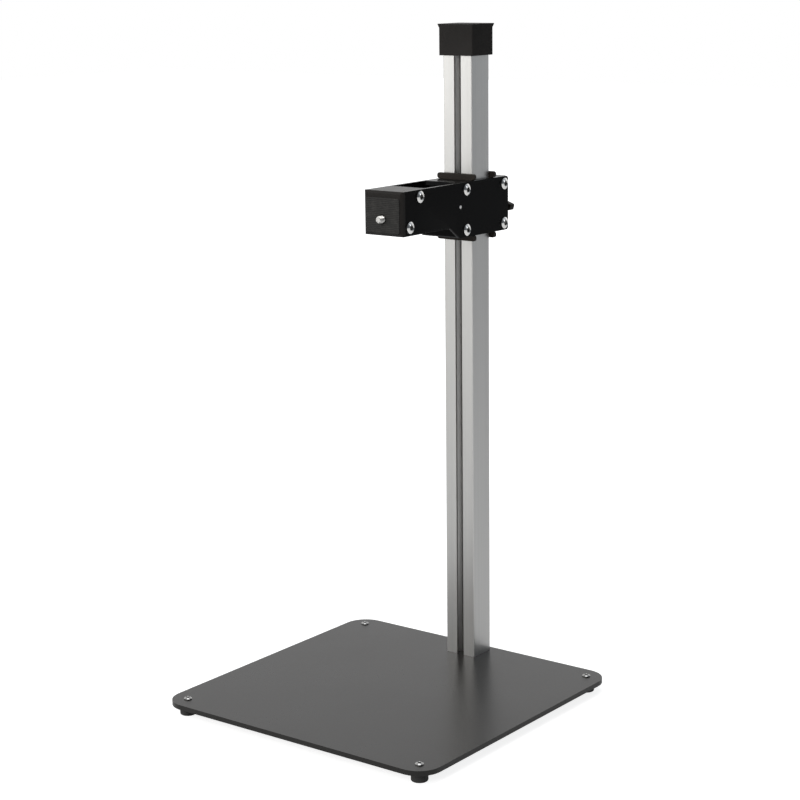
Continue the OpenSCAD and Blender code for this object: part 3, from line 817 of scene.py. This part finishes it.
def camera_knob():
    """A scalloped hand knob with a dished back, on a round neck."""
    low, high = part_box("camera_knob")
    length = (high.y - low.y) / MM
    radius = (high.x - low.x) / 2
    bm = bmesh.new()
    bmesh.ops.create_circle(bm, cap_ends=True, segments=KNOB_GROOVES * 12, radius=radius)
    for vert in bm.verts:
        wave = -math.cos(KNOB_GROOVES * math.atan2(vert.co.y, vert.co.x))
        shrink = 1 - KNOB_GROOVE_DEPTH * MM / radius * max(0.0, wave)
        vert.co.x *= shrink
        vert.co.y *= shrink
    grow(bm, bm.faces[:], (0, 0, KNOB_GRIP_L * MM))
    closed(bm)
    rims = [edge for edge in bm.edges if abs(edge.calc_face_angle(0)) > math.radians(60)]
    round_edges(bm, rims, 0.9, 4)
    top = [max(bm.faces, key=lambda face: face.calc_center_median().z)]
    for inset, depth in ((3.2, 0), (0.5, -0.8), (1.4, 0), (0.6, 0.5)):
        bmesh.ops.inset_region(bm, faces=top, thickness=inset * MM, depth=0.0)
        moved = list({vert for face in top for vert in face.verts})
        bmesh.ops.translate(bm, verts=moved, vec=(0, 0, depth * MM))
    neck = KNOB_NECK_D / 2
    front = KNOB_GRIP_L - length
    collar = [(0, front), (neck - 0.5, front), (neck, front + 0.5), (neck, -0.8)]
    neck_part = turned([*collar, (neck + 0.8, 0), (neck + 0.8, 0.3), (0, 0.3)], 72)
    closed(neck_part)
    join(bm, neck_part, Matrix())
    place = Vector((0, high.y - KNOB_GRIP_L * MM, (low.z + high.z) / 2))
    bmesh.ops.transform(bm, matrix=standing(place, (0, 1, 0)), verts=bm.verts)
    return piece_from(bm, "camera_knob_scalloped", ("camera_knob",), 35.0)


def clamp_knob():
    """The wing knob: a stepped hub and two wings with rounded edges."""
    hub = CLAMP_HUB_D / 2
    outline = [
        (0, 0),
        (hub - 1.6, 0),
        (hub - 1.2, 0.4),
        (hub - 1.2, 1.2),
        (hub, 2.2),
        (hub, CLAMP_HUB_L - 3.2),
        *arc(hub - 2.2, CLAMP_HUB_L - 2.6, 2.2, 0, 90, 6),
        (hub - 3.6, CLAMP_HUB_L - 0.4),
        (hub - 4.1, CLAMP_HUB_L - 0.9),
        (0, CLAMP_HUB_L - 0.9),
    ]
    bm = turned(outline, 72)
    closed(bm)
    wing_low = (CLAMP_HUB_L - WING_T) / 2 + WING_SET_BACK
    half_tip, half_root = WING_TIP_W / 2, WING_ROOT_W / 2
    for side in (1, -1):
        wing = bmesh.new()
        plan = [
            (hub - 3, -half_root),
            (hub + 2.5, -half_root * 0.86),
            (WING_REACH - 1, -half_tip),
            (WING_REACH, -half_tip + 1),
            (WING_REACH, half_tip - 1),
            (WING_REACH - 1, half_tip),
            (hub + 2.5, half_root * 0.86),
            (hub - 3, half_root),
        ]
        verts = [wing.verts.new((x * MM, y * MM, wing_low * MM)) for x, y in plan]
        grow(wing, [wing.faces.new(verts)], (0, 0, WING_T * MM))
        closed(wing)
        round_edges(wing, turning_edges(wing, WING_EDGE_TURN), 0.9, 3)
        join(bm, wing, Matrix.Rotation(0 if side > 0 else math.pi, 4, "Z"))
    cad_low, cad_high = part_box("clamp_knob")
    place = Vector((0, cad_low.y, (cad_low.z + cad_high.z) / 2))
    turn = Matrix.Rotation(math.radians(CLAMP_TURN), 4, "Y")
    up = standing(place, (0, 1, 0))
    matrix = Matrix.Translation(place) @ turn @ Matrix.Translation(-place) @ up
    bmesh.ops.transform(bm, matrix=matrix, verts=bm.verts)
    return piece_from(bm, "clamp_knob_winged", ("clamp_knob",), 35.0)


# Feet


def foot(node):
    """A moulded rubber foot: a rim at the plate, a rounded tread and a pocket below."""
    low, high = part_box(node)
    centre = (low + high) / 2
    radius = (high.x - low.x) / 2 / MM
    height = (high.z - low.z) / MM
    edge = FOOT_EDGE_R
    outline = [
        (FOOT_BORE_D / 2, FOOT_POCKET_H),
        (FOOT_BORE_D / 2, height),
        (radius - 0.25, height),
        (radius, height - 0.25),
        (radius, height - 1.6),
        (radius - 0.35, height - 2.0),
        *arc(radius - 0.35 - edge, edge, edge, 0, -90, 6),
        (FOOT_POCKET_D / 2 + 0.9, 0),
        (FOOT_POCKET_D / 2 + 0.6, 0.35),
        (FOOT_POCKET_D / 2 + 0.3, 0),
        (FOOT_POCKET_D / 2, 0.2),
        (FOOT_POCKET_D / 2, FOOT_POCKET_H),
        (FOOT_BORE_D / 2, FOOT_POCKET_H),
    ]
    bm = turned(outline, 64)
    closed(bm)
    matrix = Matrix.Translation((centre.x, centre.y, 0))
    bmesh.ops.transform(bm, matrix=matrix, verts=bm.verts)
    return piece_from(bm, node + "_moulded", (node,), 35.0)


# The pieces that keep their CAD form, and the rounding of their edges in millimetres
ROUNDED = {
    "base_plate": 0.6,
    "column": 0.45,
    "column_cap": 0.5,
    "side_plate_left": 0.35,
    "side_plate_right": 0.35,
    "front_block": 0.5,
    "rear_block": 0.5,
    "front_pad": 0.6,
    "brake_pad": 0.6,
    "camera_block": 0.5,
    "camera_face_pad": 0.2,
    "column_washers": 0.25,
    "foot_nuts": 0.25,
    "block_dowels": 0.3,
    "camera_washer": 0.1,
    "camera_knob_grub": 0.15,
}
for rounded_node, rounding in ROUNDED.items():
    softened(rounded_node, rounding)
build_screws()
camera_screw()
clamp_screw()
camera_knob()
clamp_knob()
for corner in ("front_left", "front_right", "back_left", "back_right"):
    foot("foot_" + corner)


# Floor and light


def build_floor():
    """A white table top. What the camera and mirrors see of it is lifted to white."""
    bm = bmesh.new()
    bmesh.ops.create_grid(bm, x_segments=1, y_segments=1, size=8.0)
    mesh = bpy.data.meshes.new("studio_floor")
    bm.to_mesh(mesh)
    bm.free()
    floor = bpy.data.objects.new("studio_floor", mesh)
    bpy.context.scene.collection.objects.link(floor)
    material = bpy.data.materials.new("studio_floor")
    material.use_nodes = True
    material.node_tree.nodes.clear()
    nodes = Nodes(material.node_tree)
    matt = nodes.node("ShaderNodeBsdfDiffuse", {}, {"Color": (0.55, 0.55, 0.55)})
    place = nodes.node("ShaderNodeTexCoord", {}, {}, output="Object")
    away = nodes.node(
        "ShaderNodeVectorMath", {"operation": "LENGTH"}, {0: place}, output="Value"
    ).stepped(0.35, 1.5)
    to_camera = nodes.seen_directly(with_gloss=False) * (away * FLOOR_LIFT_AWAY + FLOOR_LIFT)
    lift = to_camera + nodes.seen_directly() * FLOOR_LIFT_ALL
    glow = nodes.node("ShaderNodeEmission", {}, {"Strength": lift})
    both = nodes.node("ShaderNodeAddShader", {}, {0: matt, 1: glow})
    output = material.node_tree.nodes.new("ShaderNodeOutputMaterial")
    nodes.feed(output.inputs["Surface"], both)
    floor.data.materials.append(material)


def build_world():
    """Soft light all round, dimmer in mirrors behind the camera, and a white backdrop."""
    world = bpy.data.worlds.new("studio_world")
    bpy.context.scene.world = world
    world.use_nodes = True
    world.node_tree.nodes.clear()
    nodes = Nodes(world.node_tree)
    heading = nodes.node("ShaderNodeTexCoord", {}, {}, output="Generated")
    towards = nodes.along(heading, BACKDROP_HEADING)
    path = nodes.node("ShaderNodeLightPath", {}, {}).socket.node
    camera_ray = Value(nodes, path.outputs["Is Camera Ray"])
    mirrored = Value(nodes, path.outputs["Is Glossy Ray"]).at_least(
        Value(nodes, path.outputs["Is Transmission Ray"])
    )
    backdrop = camera_ray.at_least(mirrored * towards.stepped(-0.1, 0.75))
    behind_camera = nodes.along(heading, CAMERA_HEADING).stepped(0.05, 0.75)
    in_mirrors = MIRRORED_WORLD - behind_camera * MIRRORED_DIMMING
    level = mirrored * (in_mirrors - WORLD_LIGHT) + WORLD_LIGHT
    soft = nodes.node("ShaderNodeBackground", {}, {"Color": WORLD_TINT, "Strength": level})
    white = nodes.node("ShaderNodeBackground", {}, {"Color": (1, 1, 1), "Strength": 1.0})
    mixed = nodes.node("ShaderNodeMixShader", {}, {0: backdrop, 1: soft, 2: white})
    output = world.node_tree.nodes.new("ShaderNodeOutputWorld")
    nodes.feed(output.inputs["Surface"], mixed)


def softbox(name, place, aim, size, power, colour):
    lamp = bpy.data.lights.new(name, "AREA")
    lamp.shape = "RECTANGLE"
    lamp.size, lamp.size_y = size
    lamp.energy = power
    lamp.color = colour
    holder = bpy.data.objects.new(name, lamp)
    bpy.context.scene.collection.objects.link(holder)
    holder.location = place
    holder.rotation_euler = (Vector(aim) - Vector(place)).to_track_quat("-Z", "Y").to_euler()


build_floor()
build_world()
# Name, place, aim and size in metres, power in watts, and colour
softbox("front_softbox", (-1.7, -2.5, 1.6), (0, 0, 0.4), (3.0, 3.1), 50, (1.0, 0.985, 0.95))
softbox("top_softbox", (0.1, -0.3, 2.8), (0, 0, 0.2), (2.0, 2.0), 28, (1, 1, 1))
softbox("fill_softbox", (0.7, -2.9, 1.9), (0, 0, 0.4), (0.9, 0.9), 26, (1.0, 0.98, 0.95))
softbox("side_softbox", (2.3, 0.9, 1.5), (0, 0, 0.4), (0.4, 1.0), 2, (0.95, 0.975, 1.0))
place_camera()
bpy.context.scene.view_settings.view_transform = "Standard"

bpy.context.view_layer.update()
